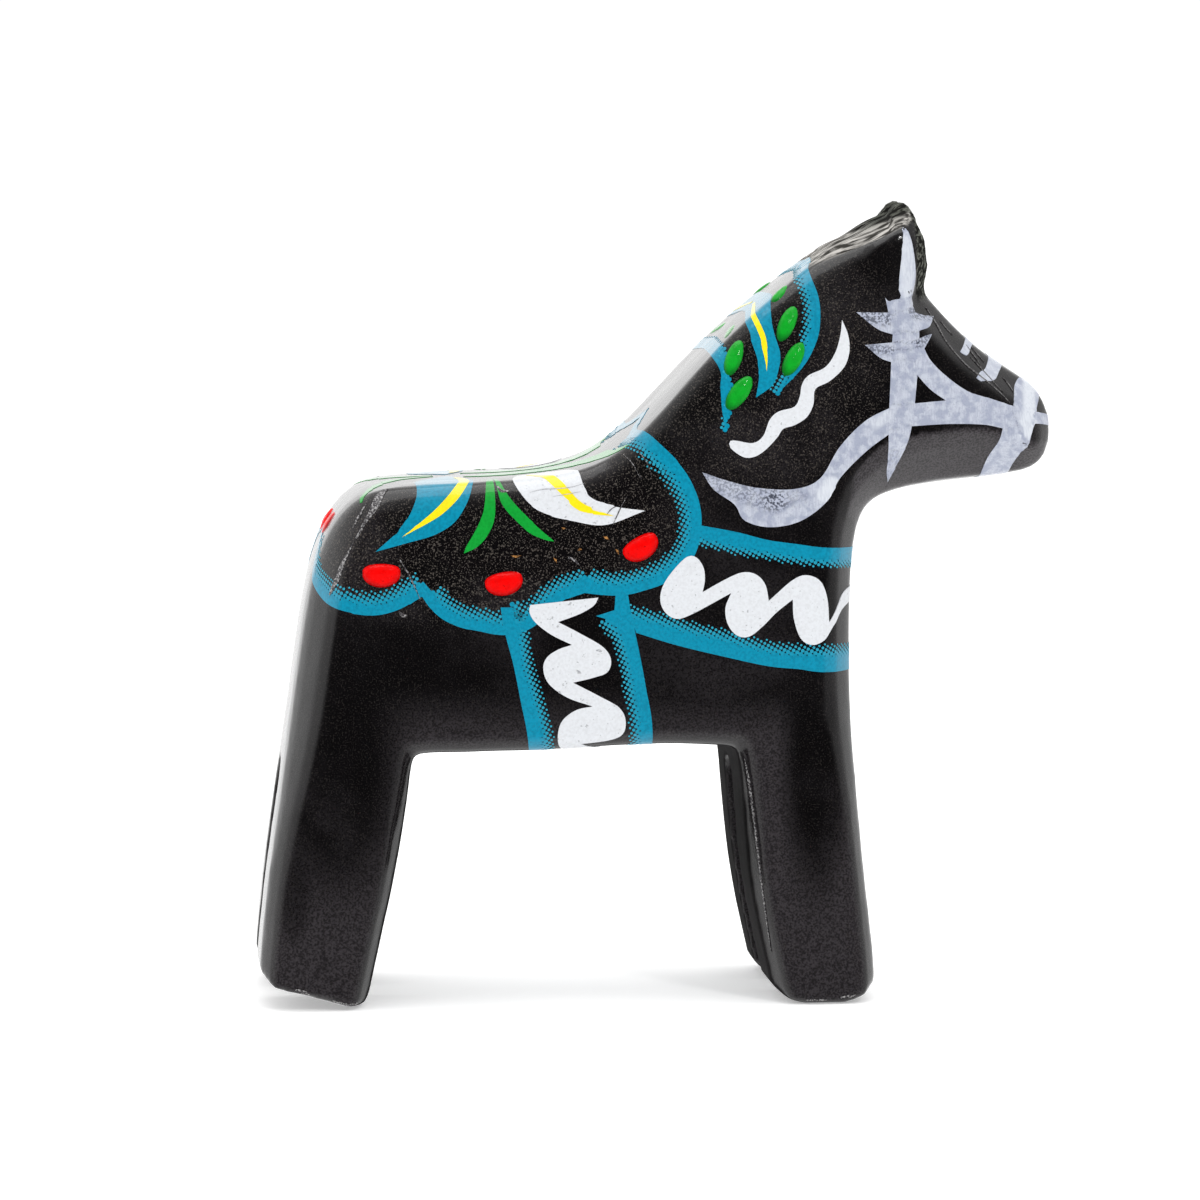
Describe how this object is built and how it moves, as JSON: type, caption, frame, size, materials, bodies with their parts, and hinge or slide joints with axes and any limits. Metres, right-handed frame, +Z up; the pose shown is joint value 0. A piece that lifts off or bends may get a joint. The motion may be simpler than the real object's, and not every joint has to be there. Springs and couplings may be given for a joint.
{
  "type": "carved horse figurine",
  "caption": "Black lacquered carved wooden horse in the Swedish dala style, with a painted saddle, girth, bridle and mane.",
  "frame": {"origin": "centre of the bounding box in plan, on the plane that the soles stand on", "axes": "+X from the tail towards the head, +Y to the horse's left side, +Z up"},
  "size_m": [0.0705, 0.0252, 0.0702],
  "materials": {
    "black_lacquer": "glossy black lacquer over carved pine",
    "blue_print": "printed turquoise film under clear lacquer",
    "white_paint": "printed white film under clear lacquer",
    "yellow_paint": "printed yellow film under clear lacquer",
    "leaf_green": "printed green film under clear lacquer",
    "drop_green": "raised glossy green paint",
    "berry_red": "raised glossy red paint",
    "silver_glaze": "thin translucent silver-grey brush strokes"
  },
  "bodies": {
    "root": {"carved_body": "black_lacquer", "berry_front_left": "berry_red", "berry_front_right": "berry_red", "berry_middle_left": "berry_red", "berry_middle_right": "berry_red", "berry_rear_left": "berry_red", "berry_rear_right": "berry_red", "berry_rump_left": "berry_red", "berry_rump_right": "berry_red", "blue_leaf_left": "blue_print", "blue_leaf_right": "blue_print", "blue_leaf_vein_left": "yellow_paint", "blue_leaf_vein_right": "yellow_paint", "breast_lower_band": "blue_print", "breast_squiggle": "white_paint", "breast_upper_band": "blue_print", "bridle_left": "silver_glaze", "bridle_right": "silver_glaze", "girth_front_band_left": "blue_print", "girth_front_band_right": "blue_print", "girth_rear_band_left": "blue_print", "girth_rear_band_right": "blue_print", "girth_squiggle_left": "white_paint", "girth_squiggle_right": "white_paint", "green_leaf_front_left": "leaf_green", "green_leaf_front_right": "leaf_green", "green_leaf_rear_left": "leaf_green", "green_leaf_rear_right": "leaf_green", "mane_curl_left": "white_paint", "mane_curl_right": "white_paint", "mane_drop_front_left": "drop_green", "mane_drop_front_right": "drop_green", "mane_drop_low_left": "drop_green", "mane_drop_low_right": "drop_green", "mane_drop_rear_left": "drop_green", "mane_drop_rear_right": "drop_green", "mane_drop_tail_left": "drop_green", "mane_drop_tail_right": "drop_green", "mane_drop_top_left": "drop_green", "mane_drop_top_right": "drop_green", "mane_front_blade_left": "blue_print", "mane_front_blade_right": "blue_print", "mane_rear_blade_left": "blue_print", "mane_rear_blade_right": "blue_print", "mane_stem_left": "blue_print", "mane_stem_right": "blue_print", "mane_stem_vein_left": "yellow_paint", "mane_stem_vein_right": "yellow_paint", "nose_dash_lower": "silver_glaze", "nose_dash_upper": "silver_glaze", "rein_stroke_left": "silver_glaze", "rein_stroke_right": "silver_glaze", "saddle_border_left": "blue_print", "saddle_border_right": "blue_print", "spine_stroke_left": "leaf_green", "spine_stroke_right": "leaf_green", "white_leaf_left": "white_paint", "white_leaf_right": "white_paint", "white_leaf_vein_left": "yellow_paint", "white_leaf_vein_right": "yellow_paint"}
  },
  "joints": []
}
